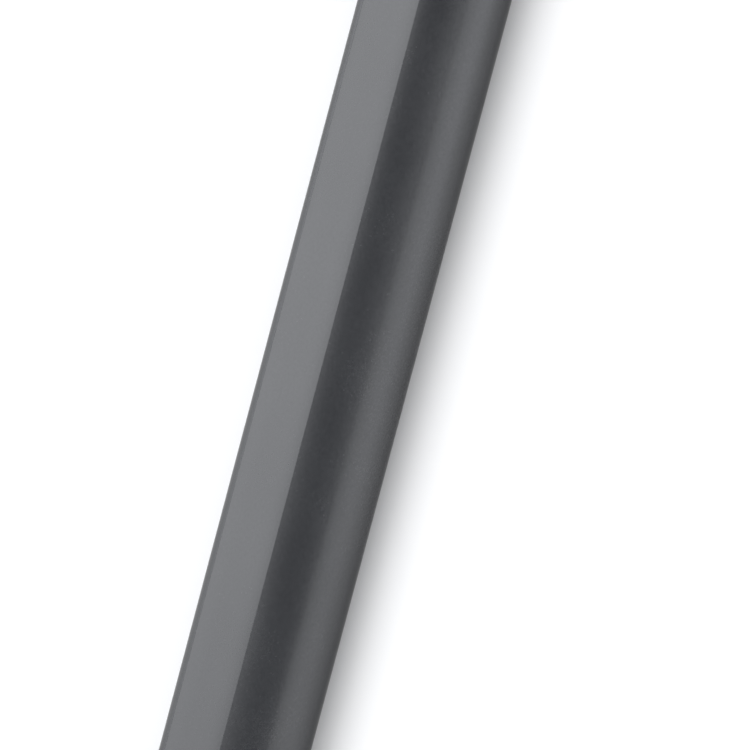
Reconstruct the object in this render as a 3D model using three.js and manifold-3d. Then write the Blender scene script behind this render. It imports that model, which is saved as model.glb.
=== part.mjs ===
// Active stylus for a tablet: a slim pen with a D-shaped aluminium barrel, one flat
// side that clings to a tablet's edge, a rocker button let into that flat, a
// pressure-sensing replaceable nib, and a pull-off tail cap with an eraser button
// that closes the bay of one AAAA cell.
//
// Millimetres, +Z up. The pen lies along X with its nib at -X and its tail at +X,
// its flat side facing up and its round belly on z = 0. Stations along the pen are
// written as s, the distance from the tip of the nib.
import * as THREE from "three";
import { mergeVertices } from "three/addons/utils/BufferGeometryUtils.js";
import Module from "manifold-3d";

const wasm = await Module();
wasm.setup();

// ---------------------------------------------------------------- dimensions
const LENGTH = 146; // nib tip to tail
const R = 4.85; // barrel radius
const FLAT_Z = 4.32; // height of the flat above the pen's axis (89% of R)
const BORE_R = 4.22; // inside radius of the barrel and the tail sleeve
const BORE_DZ = -0.2; // the bore is lowered, so the wall under the flat keeps 0.3 mm

const CONE_S = [3.2, 17.0]; // nose cone
const BARREL_S = [17.15, 129.0]; // barrel tube
const SLEEVE_S = [129.15, 141.15]; // tail sleeve
const HEAD_S = [142.1, LENGTH]; // eraser button's head
const PRESS = 0.5; // travel of the eraser button

const NIB_R = 1.15;
const NIB_SHAFT_R = 0.8;
const NOSE_HOLE_R = 1.36;

const BUTTON_S = 40; // middle of the rocker button, and its pivot
const BUTTON_LEN = 18.2;
const BUTTON_W = 2.7;
const BUTTON_PROUD = 0.25; // above the flat
const SLOT_GAP = 0.12; // round the button
const PIN_Z = 2.72;
const FOOT_ARM = 5.5; // from the pivot to each switch

const LIGHT_S = 53.5; // status light

const BOARD = { s0: 31.6, s1: 74.5, halfW: 3.2, z0: 0.9, z1: 1.5 };
const CHASSIS_S = [30.2, 76.0];

const CELL_R = 4.1; // AAAA cell, 8.2 mm across and 42 mm long
const CELL_S = [80.0, 121.3]; // the can
const CELL_NUB_S = 79.3; // tip of the positive nub

const PLUG_S = [121.6, 137.9];

// ---------------------------------------------------------------- materials
const finish = (color, roughness, metalness) =>
  new THREE.MeshStandardMaterial({ color, roughness, metalness });
const M = {
  anodised: finish(0x5b5c60, 0.42, 0.55),
  nose: finish(0x4c4d51, 0.5, 0.1),
  nib: finish(0x2e2f32, 0.45, 0),
  button: finish(0x54555a, 0.4, 0.3),
  eraser: finish(0x3b3c40, 0.75, 0),
  trim: finish(0xa7aab0, 0.25, 1),
  frame: finish(0x202226, 0.6, 0),
  board: finish(0x1f4a35, 0.5, 0),
  chip: finish(0x17181a, 0.4, 0),
  ceramic: finish(0xb9a98c, 0.5, 0),
  steel: finish(0xbfc2c6, 0.3, 1),
  brass: finish(0xc9a552, 0.3, 1),
  magnet: finish(0xb4b7bb, 0.25, 1),
  rubber: finish(0x161719, 0.85, 0),
  clear: finish(0xdfe6ea, 0.15, 0),
  flex: finish(0xb06a1e, 0.45, 0),
  cell: finish(0x8f9398, 0.35, 0.8),
  core: finish(0x3a3a3c, 0.8, 0),
};

// ---------------------------------------------------------------- solids
// A closed geometry as a solid, with its faces turned outwards if they point in.
function solid(geometry) {
  const g = geometry.index ? geometry.toNonIndexed() : geometry.clone();
  const bare = new THREE.BufferGeometry().setAttribute(
    "position",
    g.getAttribute("position"),
  );
  const merged = mergeVertices(bare, 1e-4);
  const tri = new Uint32Array(merged.index.array);
  const p = merged.attributes.position.array;
  let six = 0;
  for (let i = 0; i < tri.length; i += 3) {
    const [a, b, c] = [tri[i] * 3, tri[i + 1] * 3, tri[i + 2] * 3];
    six +=
      p[a] * (p[b + 1] * p[c + 2] - p[b + 2] * p[c + 1]) -
      p[a + 1] * (p[b] * p[c + 2] - p[b + 2] * p[c]) +
      p[a + 2] * (p[b] * p[c + 1] - p[b + 1] * p[c]);
  }
  if (six < 0)
    for (let i = 0; i < tri.length; i += 3)
      [tri[i + 1], tri[i + 2]] = [tri[i + 2], tri[i + 1]];
  return new wasm.Manifold(
    new wasm.Mesh({ numProp: 3, vertProperties: p, triVerts: tri }),
  );
}

function geometryOf(made) {
  const m = made.getMesh();
  const v = new Float32Array(m.numVert * 3);
  for (let i = 0; i < m.numVert; i++)
    v.set(
      m.vertProperties.subarray(i * m.numProp, i * m.numProp + 3),
      i * 3,
    );
  const g = new THREE.BufferGeometry();
  g.setAttribute("position", new THREE.BufferAttribute(v, 3));
  g.setIndex(new THREE.BufferAttribute(new Uint32Array(m.triVerts), 1));
  g.computeVertexNormals();
  return g;
}

// A turned solid about the pen's axis from a profile of [s, r] points. A profile that
// doesn't start and end on the axis closes on itself.
function turned(profile, segments = 40, dz = 0, phase = 0) {
  const pts = profile.map(([s, r]) => new THREE.Vector2(r, s));
  const onAxis = profile[0][1] === 0 && profile[profile.length - 1][1] === 0;
  if (!onAxis) pts.push(pts[0].clone());
  const g = new THREE.LatheGeometry(pts, segments);
  g.rotateZ(-Math.PI / 2);
  g.rotateX(phase);
  g.translate(0, 0, dz);
  return solid(g);
}

// A solid of one section, given in (y, z), from station s0 to s1.
const ALONG_X = new THREE.Matrix4().set(
  0, 0, 1, 0, 1, 0, 0, 0, 0, 1, 0, 0, 0, 0, 0, 1,
);
function prism(points, s0, s1, hole) {
  const shape = new THREE.Shape(points.map(([y, z]) => new THREE.Vector2(y, z)));
  if (hole)
    shape.holes.push(
      new THREE.Path(hole.map(([y, z]) => new THREE.Vector2(y, z))),
    );
  const g = new THREE.ExtrudeGeometry(shape, {
    depth: s1 - s0,
    bevelEnabled: false,
  });
  g.applyMatrix4(ALONG_X);
  g.translate(s0, 0, 0);
  return solid(g);
}

// A solid of one section, given in (s, y), from height z0 to z1.
function plate(points, z0, z1) {
  const shape = new THREE.Shape(points.map(([s, y]) => new THREE.Vector2(s, y)));
  const g = new THREE.ExtrudeGeometry(shape, {
    depth: z1 - z0,
    bevelEnabled: false,
  });
  g.translate(0, 0, z0);
  return solid(g);
}

function box(s0, s1, y0, y1, z0, z1) {
  const g = new THREE.BoxGeometry(s1 - s0, y1 - y0, z1 - z0);
  g.translate((s0 + s1) / 2, (y0 + y1) / 2, (z0 + z1) / 2);
  return solid(g);
}

function postZ(s, y, r, z0, z1, segments = 16) {
  const g = new THREE.CylinderGeometry(r, r, z1 - z0, segments);
  g.rotateX(Math.PI / 2);
  g.translate(s, y, (z0 + z1) / 2);
  return solid(g);
}

function rodY(s, z, r, y0, y1, segments = 16) {
  const g = new THREE.CylinderGeometry(r, r, y1 - y0, segments);
  g.translate(s, (y0 + y1) / 2, z);
  return solid(g);
}

class Helix extends THREE.Curve {
  constructor(s0, s1, r0, r1, turns, flat) {
    super();
    Object.assign(this, { s0, s1, r0, r1, turns, flat });
  }
  getPoint(t, target = new THREE.Vector3()) {
    // the end turns lie closed and flat, as on a ground spring
    const { s0, s1, r0, r1, turns, flat } = this;
    const e = flat / turns;
    const u = Math.min(1, Math.max(0, (t - e) / (1 - 2 * e)));
    const a = t * turns * 2 * Math.PI;
    const r = r0 + (r1 - r0) * t;
    return target.set(s0 + (s1 - s0) * u, r * Math.cos(a), r * Math.sin(a));
  }
}

function coil(s0, s1, r0, r1, wire, turns, sides = 6, perTurn = 14, dz = 0) {
  const ring = [];
  for (let i = 0; i < sides; i++) {
    const a = (2 * Math.PI * i) / sides;
    ring.push(new THREE.Vector2((wire / 2) * Math.cos(a), (wire / 2) * Math.sin(a)));
  }
  const g = new THREE.ExtrudeGeometry(new THREE.Shape(ring), {
    steps: Math.round(turns * perTurn),
    bevelEnabled: false,
    extrudePath: new Helix(s0 + wire / 2, s1 - wire / 2, r0, r1, turns, 0.25),
  });
  g.translate(0, 0, dz);
  return solid(g);
}

function torus(s, major, minor, dz, around = 40, sides = 8) {
  const pts = [];
  for (let i = 0; i < sides; i++) {
    const a = (2 * Math.PI * i) / sides;
    pts.push([s + minor * Math.cos(a), major + minor * Math.sin(a)]);
  }
  return turned(pts, around, dz);
}

// The barrel's D section as a polygon: the round side in an odd number of equal
// chords, so that one of them lies flat on the table, closed by the flat. grow moves
// the outline in or out.
function dSection(grow = 0, chords = 41) {
  const r = R + grow;
  const top = FLAT_Z + grow;
  const half = Math.acos(top / r);
  const from = Math.PI / 2 + half;
  const sweep = 2 * Math.PI - 2 * half;
  const pts = [];
  for (let i = 0; i <= chords; i++) {
    const a = from + (sweep * i) / chords;
    pts.push([r * Math.cos(a), r * Math.sin(a)]);
  }
  return pts;
}

function circleYZ(r, dz, n = 40, phase = 0) {
  const pts = [];
  for (let i = 0; i < n; i++) {
    const a = phase + (2 * Math.PI * i) / n;
    pts.push([r * Math.cos(a), dz + r * Math.sin(a)]);
  }
  return pts;
}

// A stadium outline in (s, y), long side along s.
function stadium(s, y, length, width, n = 8) {
  const r = width / 2;
  const h = length / 2 - r;
  const pts = [];
  for (let i = 0; i <= n; i++) {
    const a = -Math.PI / 2 + (Math.PI * i) / n;
    pts.push([s + h + r * Math.cos(a), y + r * Math.sin(a)]);
  }
  for (let i = 0; i <= n; i++) {
    const a = Math.PI / 2 + (Math.PI * i) / n;
    pts.push([s - h + r * Math.cos(a), y + r * Math.sin(a)]);
  }
  return pts;
}

// Everything above the flat, to cut turned pieces to the D section.
const aboveFlat = () => box(-5, LENGTH + 5, -8, 8, FLAT_Z, FLAT_Z + 8);

// ---------------------------------------------------------------- scene graph
const pen = new THREE.Group();
const front = new THREE.Group(); // nose and nib
const tube = new THREE.Group(); // barrel
const works = new THREE.Group(); // electronics carrier
const power = new THREE.Group(); // cell and contacts
const tail = new THREE.Group(); // pull-off cap
pen.add(front, tube, works, power, tail);

function add(group, name, made, material) {
  const mesh = new THREE.Mesh(geometryOf(made), material);
  mesh.name = name;
  group.add(mesh);
  return mesh;
}

// ---------------------------------------------------------------- nib and nose
// The nib is one moulded piece: a rounded cone, a collar that fills the nose hole
// with running clearance, and a thin shaft that its holder grips.
add(
  front,
  "nib",
  turned(
    [
      [0, 0],
      [0.08, 0.26],
      [0.27, 0.45],
      [0.6, 0.58],
      [1.7, 0.86],
      [2.95, NIB_R],
      [5.0, NIB_R],
      [5.15, NIB_SHAFT_R],
      [17.9, NIB_SHAFT_R],
      [18.3, 0.5],
      [18.3, 0],
    ],
    24,
  ),
  M.nib,
);

// Nose radius at a station: a cone that runs out tangent to the barrel.
function noseRadius(s) {
  const t = (s - CONE_S[0]) / (CONE_S[1] - CONE_S[0]);
  return 1.9 + (R - 0.01 - 1.9) * (1 - Math.pow(1 - t, 1.4));
}
const noseOuter = [4.2, 5.6, 7.2, 9, 10.8, 12.6, 14.2, 15.6, 17.0].map((s) => [
  s,
  noseRadius(s),
]);
add(
  front,
  "nose_cone",
  turned(
    [
      [3.2, NOSE_HOLE_R],
      [3.2, 1.66],
      [3.5, 1.96],
      ...noseOuter,
      [17.0, 3.6],
      [14.2, 3.45],
      [9.2, 2.35],
      [6.2, 1.8],
      [5.6, NOSE_HOLE_R],
    ],
    44,
    0,
    Math.PI / 44,
  )
    .add(
      turned(
        [
          [16.2, 3.55],
          [16.2, 4.0],
          [17.0, 4.1],
          [20.2, 4.1],
          [20.2, 3.55],
        ],
        40,
        BORE_DZ,
      ),
    )
    .subtract(aboveFlat()),
  M.nose,
);

// A conductive sleeve inside the nose, which the tablet reads for tilt.
add(
  front,
  "tilt_electrode",
  turned(
    [
      [9.8, 2.14],
      [9.8, 2.4],
      [13.9, 3.3],
      [14.9, 3.3],
      [14.9, 3.02],
      [14.0, 3.02],
    ],
    32,
  ),
  M.brass,
);

// The holder grips the nib's shaft in a split collet, and its stem presses the sensor.
let holder = turned(
  [
    [14.0, 0.88],
    [14.0, 1.3],
    [14.3, 1.45],
    [19.5, 1.45],
    [19.5, 1.95],
    [20.1, 1.95],
    [20.1, 0.7],
    [24.5, 0.7],
    [24.5, 0],
    [18.7, 0],
    [18.7, 0.88],
  ],
  24,
);
holder = holder
  .subtract(box(13.5, 17.4, -0.16, 0.16, -2, 2))
  .subtract(box(13.5, 17.4, -2, 2, -0.16, 0.16));
add(front, "nib_holder", holder, M.frame);

add(front, "nib_spring", coil(20.15, 22.95, 1.35, 1.35, 0.28, 5), M.steel);

add(
  front,
  "spring_seat",
  turned(
    [
      [23.05, 0.9],
      [23.05, 2.5],
      [23.65, 2.5],
      [23.65, 0.9],
    ],
    32,
  ),
  M.steel,
);

// The housing carries the sensor stack and locates it in the nose and the barrel.
add(
  front,
  "sensor_housing",
  turned(
    [
      [17.3, 1.65],
      [17.3, 3.2],
      [20.4, 3.2],
      [20.4, 3.8],
      [29.9, 3.8],
      [29.9, 2.6],
      [23.0, 2.6],
      [23.0, 2.25],
      [18.4, 2.25],
      [18.4, 1.65],
    ],
    36,
  ).subtract(box(27.0, 31, -1.7, 1.7, 1.2, 5)),
  M.frame,
);
add(
  front,
  "pressure_pad",
  turned(
    [
      [24.9, 0],
      [24.9, 1.1],
      [25.1, 1.6],
      [25.6, 1.6],
      [25.6, 0],
    ],
    24,
  ),
  M.rubber,
);
add(
  front,
  "pressure_sensor",
  turned(
    [
      [25.65, 0],
      [25.65, 2.35],
      [26.8, 2.35],
      [26.8, 0],
    ],
    28,
  ),
  M.ceramic,
);
add(
  front,
  "sensor_backplate",
  turned(
    [
      [26.85, 0],
      [26.85, 2.5],
      [28.4, 2.5],
      [28.4, 0],
    ],
    28,
  ).subtract(box(26.5, 29, -1.65, 1.65, 0.55, 3)),
  M.frame,
);
// Flat cable from the sensor to the main board.
add(
  front,
  "sensor_flex",
  plateAcross(
    [
      [26.95, 0.7],
      [29.4, 0.7],
      [31.5, 1.62],
      [32.9, 1.62],
      [32.9, 1.76],
      [31.44, 1.76],
      [29.34, 0.84],
      [26.95, 0.84],
    ],
    -1.4,
    1.4,
  ),
  M.flex,
);

// A solid of one section, given in (s, z), from y0 to y1.
function plateAcross(points, y0, y1) {
  const shape = new THREE.Shape(points.map(([s, z]) => new THREE.Vector2(s, z)));
  const g = new THREE.ExtrudeGeometry(shape, {
    depth: y1 - y0,
    bevelEnabled: false,
  });
  g.rotateX(Math.PI / 2); // (s, z, depth) becomes (s, -depth, z)
  g.translate(0, y1, 0);
  return solid(g);
}

// ---------------------------------------------------------------- barrel
const slot = () =>
  plate(
    stadium(BUTTON_S, 0, BUTTON_LEN + 2 * SLOT_GAP, BUTTON_W + 2 * SLOT_GAP, 8),
    2.9,
    6,
  );
add(
  tube,
  "barrel",
  prism(dSection(), BARREL_S[0], BARREL_S[1], circleYZ(BORE_R, BORE_DZ, 40))
    .subtract(slot())
    .subtract(postZ(LIGHT_S, 0, 0.52, 3, 6, 16)),
  M.anodised,
);

// The rocker's cap, with a flange that the slot keeps in and a foot over each switch.
let rocker = plate(stadium(BUTTON_S, 0, BUTTON_LEN, BUTTON_W, 8), 3.2, FLAT_Z + BUTTON_PROUD);
rocker = rocker
  .add(plate(stadium(BUTTON_S, 0, BUTTON_LEN + 1.0, 3.5, 6), 2.92, 3.24))
  .add(box(BUTTON_S - FOOT_ARM - 0.8, BUTTON_S - FOOT_ARM + 0.8, -0.8, 0.8, 2.5, 3.0))
  .add(box(BUTTON_S + FOOT_ARM - 0.8, BUTTON_S + FOOT_ARM + 0.8, -0.8, 0.8, 2.5, 3.0))
  .add(box(BUTTON_S - 0.95, BUTTON_S + 0.95, -1.15, 1.15, 2.1, 3.0))
  .subtract(rodY(BUTTON_S, PIN_Z, 0.47, -2, 2, 16))
  .subtract(box(BUTTON_S - 0.16, BUTTON_S + 0.16, -2, 2, FLAT_Z + 0.07, 6));
add(tube, "side_button", rocker, M.button);

add(tube, "button_pin", rodY(BUTTON_S, PIN_Z, 0.4, -2.35, 2.35, 16), M.steel);

let bracket = box(BUTTON_S - 2.3, BUTTON_S + 2.3, -2.4, 2.4, 1.55, 1.8);
for (const side of [-1, 1])
  bracket = bracket.add(
    box(
      BUTTON_S - 1.1,
      BUTTON_S + 1.1,
      side < 0 ? -2.4 : 1.87,
      side < 0 ? -1.87 : 2.4,
      1.6,
      3.14,
    ),
  );
bracket = bracket.subtract(rodY(BUTTON_S, PIN_Z, 0.43, -3, 3, 16));
add(tube, "button_bracket", bracket, M.steel);

// Clear pin that brings the status light to the flat.
add(
  tube,
  "light_pipe",
  postZ(LIGHT_S, 0, 0.45, 2.15, FLAT_Z - 0.03, 16).add(
    postZ(LIGHT_S, 0, 0.85, 3.1, 3.5, 16),
  ),
  M.clear,
);

// Two bar magnets under the flat, in a carrier.
add(tube, "magnet_front", box(55.9, 63.7, -1.5, 1.5, 2.75, 3.6), M.magnet);
add(tube, "magnet_rear", box(64.9, 72.7, -1.5, 1.5, 2.75, 3.6), M.magnet);
add(
  tube,
  "magnet_carrier",
  box(55.2, 73.4, -2.1, 2.1, 2.45, 3.2)
    .add(box(55.2, 55.75, -2.1, 2.1, 1.54, 2.5))
    .add(box(69.6, 70.4, -2.1, 2.1, 1.54, 2.5))
    .subtract(box(55.8, 63.8, -1.6, 1.6, 2.7, 4))
    .subtract(box(64.8, 72.8, -1.6, 1.6, 2.7, 4)),
  M.frame,
);

// ---------------------------------------------------------------- electronics
// A steel trough that stiffens the pen and carries the board, lying on the bottom of
// the bore. It keeps the pen's weight low, so the pen lies with its flat up.
let chassis = prism(
  circleYZ(4.08, BORE_DZ, 40),
  CHASSIS_S[0],
  CHASSIS_S[1],
).subtract(
  prism(circleYZ(3.56, BORE_DZ, 40), CHASSIS_S[0] + 0.8, CHASSIS_S[1] - 0.8),
);
const SCREW_S = [50.6, 72.4];
for (const s of SCREW_S) chassis = chassis.add(postZ(s, 0, 1.25, -3.9, 0.8, 16));
chassis = chassis.subtract(box(20, 90, -6, 6, 0.8, 6));
for (const s of SCREW_S) chassis = chassis.subtract(postZ(s, 0, 0.5, -2.4, 2, 12));
add(works, "chassis", chassis, M.steel);

let board = plate(
  [
    [BOARD.s0, -BOARD.halfW],
    [BOARD.s1, -BOARD.halfW],
    [BOARD.s1, BOARD.halfW],
    [BOARD.s0, BOARD.halfW],
  ],
  BOARD.z0,
  BOARD.z1,
);
for (const s of SCREW_S) board = board.subtract(postZ(s, 0, 0.56, 0, 3, 16));
add(works, "main_board", board, M.board);

SCREW_S.forEach((s, i) => {
  let screw = postZ(s, 0, 0.44, -2.0, 1.6, 12).add(postZ(s, 0, 0.95, 1.54, 2.0, 16));
  screw = screw
    .subtract(box(s - 0.55, s + 0.55, -0.11, 0.11, 1.78, 3))
    .subtract(box(s - 0.11, s + 0.11, -0.55, 0.55, 1.78, 3));
  add(works, i ? "board_screw_rear" : "board_screw_front", screw, M.steel);
});

for (const [name, s] of [
  ["front_switch", BUTTON_S - FOOT_ARM],
  ["rear_switch", BUTTON_S + FOOT_ARM],
])
  add(
    works,
    name,
    box(s - 1.5, s + 1.5, -1.3, 1.3, 1.54, 2.08).add(
      postZ(s, 0, 0.55, 2.0, 2.28, 12),
    ),
    M.chip,
  );

add(works, "flex_connector", box(31.75, 32.75, -1.9, 1.9, 1.8, 2.5), M.nose);
add(works, "status_led", box(LIGHT_S - 0.8, LIGHT_S + 0.8, -0.4, 0.4, 1.54, 2.05), M.ceramic);
add(works, "controller_chip", box(56.2, 60.6, -2.2, 2.2, 1.54, 2.2), M.chip);
add(works, "radio_chip", box(62.0, 65.0, -1.5, 1.5, 1.54, 2.1), M.chip);
add(works, "crystal", box(66.2, 67.8, 0.6, 1.9, 1.54, 2.0), M.steel);
add(works, "power_coil", box(66.2, 68.4, -2.2, 0.0, 1.54, 2.4), M.ceramic);

// ---------------------------------------------------------------- cell and contacts
add(
  power,
  "contact_block",
  prism(circleYZ(4.05, BORE_DZ, 36), 76.3, 78.3, circleYZ(1.5, BORE_DZ, 20)),
  M.frame,
);
// A sprung brass cup that meets the cell's positive nub.
add(
  power,
  "positive_contact",
  turned(
    [
      [76.6, 0],
      [76.6, 1.35],
      [78.4, 1.35],
      [78.4, 2.6],
      [78.65, 2.6],
      [78.65, 1.25],
      [79.1, 0.7],
      [79.1, 0],
    ],
    24,
    BORE_DZ,
  ),
  M.brass,
);
// The can is crimped over the seal at its nub end.
add(
  power,
  "cell_can",
  turned(
    [
      [CELL_S[0], 3.35],
      [CELL_S[0], 3.75],
      [CELL_S[0] + 0.3, CELL_R],
      [CELL_S[1] - 0.4, CELL_R],
      [CELL_S[1], 3.7],
      [CELL_S[1], 0],
      [CELL_S[1] - 0.3, 0],
      [CELL_S[1] - 0.3, 3.85],
      [CELL_S[0] + 0.4, 3.85],
      [CELL_S[0] + 0.4, 3.35],
    ],
    40,
    BORE_DZ,
  ),
  M.cell,
);
add(
  power,
  "cell_top",
  turned(
    [
      [CELL_NUB_S, 0],
      [CELL_NUB_S, 0.95],
      [79.45, 1.1],
      [80.05, 1.1],
      [80.05, 2.0],
      [80.35, 2.0],
      [80.35, 0],
    ],
    28,
    BORE_DZ,
  ),
  M.steel,
);
add(
  power,
  "cell_seal",
  turned(
    [
      [80.1, 2.1],
      [80.1, 3.25],
      [80.45, 3.25],
      [80.45, 3.75],
      [81.6, 3.75],
      [81.6, 0],
      [80.45, 0],
      [80.45, 2.1],
    ],
    28,
    BORE_DZ,
  ),
  M.rubber,
);
add(
  power,
  "cell_core",
  turned(
    [
      [81.7, 0],
      [81.7, 3.78],
      [120.9, 3.78],
      [120.9, 0],
    ],
    32,
    BORE_DZ,
  ),
  M.core,
);

// ---------------------------------------------------------------- tail cap
// The plug's front end is a spigot in the barrel's bore, with a cup for the negative
// spring and a groove for the ring that holds and seals the cap.
add(
  tail,
  "cap_plug",
  turned(
    [
      [PLUG_S[0], 3.3],
      [PLUG_S[0], 3.95],
      [PLUG_S[0] + 0.3, 4.12],
      [125.9, 4.12],
      [125.9, 3.62],
      [127.1, 3.62],
      [127.1, 4.12],
      [PLUG_S[1], 4.12],
      [PLUG_S[1], 3.55],
      [129.6, 3.55],
      [129.6, 1.0],
      [125.3, 1.0],
      [125.3, 3.3],
    ],
    40,
    BORE_DZ,
  ),
  M.frame,
);
add(tail, "seal_ring", torus(126.5, 3.92, 0.26, BORE_DZ, 40, 8), M.rubber);
add(
  tail,
  "negative_spring",
  coil(121.4, 124.7, 1.5, 2.7, 0.42, 4, 6, 14, BORE_DZ),
  M.steel,
);
add(
  tail,
  "spring_plate",
  turned(
    [
      [124.78, 0],
      [124.78, 3.15],
      [125.2, 3.15],
      [125.2, 0],
    ],
    28,
    BORE_DZ,
  ),
  M.brass,
);
// Brass pin that carries the cell's negative side through the plug to the tail board.
add(
  tail,
  "contact_pin",
  turned(
    [
      [125.28, 0],
      [125.28, 0.8],
      [129.9, 0.8],
      [129.9, 0],
    ],
    16,
    BORE_DZ,
  ),
  M.brass,
);
add(
  tail,
  "tail_sleeve",
  prism(dSection(), SLEEVE_S[0], SLEEVE_S[1], circleYZ(BORE_R, BORE_DZ, 40)),
  M.anodised,
);
add(
  tail,
  "tail_board",
  turned(
    [
      [130.0, 0],
      [130.0, 3.4],
      [130.8, 3.4],
      [130.8, 0],
    ],
    32,
    BORE_DZ,
  ),
  M.board,
);
add(
  tail,
  "tail_switch",
  box(130.85, 131.9, -1.6, 1.6, -1.6 + BORE_DZ, 1.6 + BORE_DZ).add(
    turned(
      [
        [131.8, 0],
        [131.8, 0.8],
        [132.5, 0.8],
        [132.5, 0],
      ],
      16,
      BORE_DZ,
    ),
  ),
  M.chip,
);
add(
  tail,
  "tail_spring",
  coil(130.9, 135.1, 2.75, 2.75, 0.34, 4, 6, 14, BORE_DZ),
  M.steel,
);
// Snaps into the plug's mouth and keeps the eraser button in.
add(
  tail,
  "button_retainer",
  turned(
    [
      [136.75, 2.75],
      [136.75, 3.48],
      [138.0, 3.48],
      [138.0, 4.1],
      [138.6, 4.1],
      [138.6, 2.75],
    ],
    36,
    BORE_DZ,
  ),
  M.frame,
);
// Metal ring that closes the end of the sleeve round the eraser button's neck.
add(
  tail,
  "tail_ring",
  prism(dSection(-0.06), 141.19, 141.45, circleYZ(2.8, BORE_DZ, 32)).add(
    turned(
      [
        [140.0, 3.4],
        [140.0, 4.1],
        [141.3, 4.1],
        [141.3, 3.4],
      ],
      36,
      BORE_DZ,
    ),
  ),
  M.trim,
);
// Eraser button: a foot over the switch, a flange behind the retainer, a neck, and the
// domed head that ends the pen.
add(
  tail,
  "eraser_button",
  turned(
    [
      [132.55 + PRESS, 0],
      [132.55 + PRESS, 0.9],
      [135.2, 0.9],
      [135.2, 3.3],
      [136.6, 3.3],
      [136.6, 2.55],
      [142.3, 2.55],
      [142.3, 0],
    ],
    32,
    BORE_DZ,
  )
    .add(
      turned(
        [
          [HEAD_S[0], 0],
          [HEAD_S[0], 4.6],
          [HEAD_S[0] + 0.2, 4.82],
          [143.9, 4.82],
          [144.6, 4.66],
          [145.2, 4.3],
          [145.65, 3.7],
          [145.9, 2.8],
          [146.0, 1.6],
          [146.0, 0],
        ],
        44,
        0,
        Math.PI / 44,
      ),
    )
    .subtract(aboveFlat()),
  M.eraser,
);

pen.position.set(-LENGTH / 2, 0, R * Math.cos((Math.PI - Math.acos(FLAT_Z / R)) / 41));

export default pen;
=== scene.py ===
import math

import bpy
import bmesh
from mathutils import Matrix, Vector
from mathutils.geometry import delaunay_2d_cdt


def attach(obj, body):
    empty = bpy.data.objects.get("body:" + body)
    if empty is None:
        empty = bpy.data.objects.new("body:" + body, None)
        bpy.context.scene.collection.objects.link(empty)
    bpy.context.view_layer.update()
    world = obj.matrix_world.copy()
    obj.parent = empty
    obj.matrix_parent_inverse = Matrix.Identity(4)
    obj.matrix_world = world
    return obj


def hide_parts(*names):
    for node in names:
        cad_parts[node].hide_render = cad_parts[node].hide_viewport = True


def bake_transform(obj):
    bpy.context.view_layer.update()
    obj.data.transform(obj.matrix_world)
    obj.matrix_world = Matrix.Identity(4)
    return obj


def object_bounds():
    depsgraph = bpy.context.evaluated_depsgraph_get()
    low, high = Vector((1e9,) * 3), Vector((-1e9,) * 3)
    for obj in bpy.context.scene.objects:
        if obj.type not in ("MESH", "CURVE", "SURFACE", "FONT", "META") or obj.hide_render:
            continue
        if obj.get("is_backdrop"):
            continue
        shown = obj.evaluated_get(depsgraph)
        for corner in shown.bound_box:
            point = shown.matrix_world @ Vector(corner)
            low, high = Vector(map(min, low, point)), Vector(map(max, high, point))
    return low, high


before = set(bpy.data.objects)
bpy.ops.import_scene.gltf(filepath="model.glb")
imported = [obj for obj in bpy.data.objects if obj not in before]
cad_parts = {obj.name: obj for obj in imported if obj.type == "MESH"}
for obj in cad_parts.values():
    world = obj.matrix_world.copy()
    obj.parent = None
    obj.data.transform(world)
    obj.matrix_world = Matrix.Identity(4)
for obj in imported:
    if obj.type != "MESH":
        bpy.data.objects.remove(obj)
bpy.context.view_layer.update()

# The pen lies along X, nib at -X, flat up, belly on z = 0. Everything here is written
# in millimetres as (s, y, z): s is the distance from the nib's tip, y and z are about
# the barrel's axis. at() turns that into the frame's metres.
MM = 0.001
MIDDLE = 73.0
R = 4.85
FLAT = 4.32
BORE_R = 4.22
BORE_DZ = -0.2
LIFT = R * math.cos((math.pi - math.acos(FLAT / R)) / 41)
BUTTON_S = 40.0
LIGHT_S = 53.5


def at(s, y, z):
    return ((s - MIDDLE) * MM, y * MM, (z + LIFT) * MM)


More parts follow.
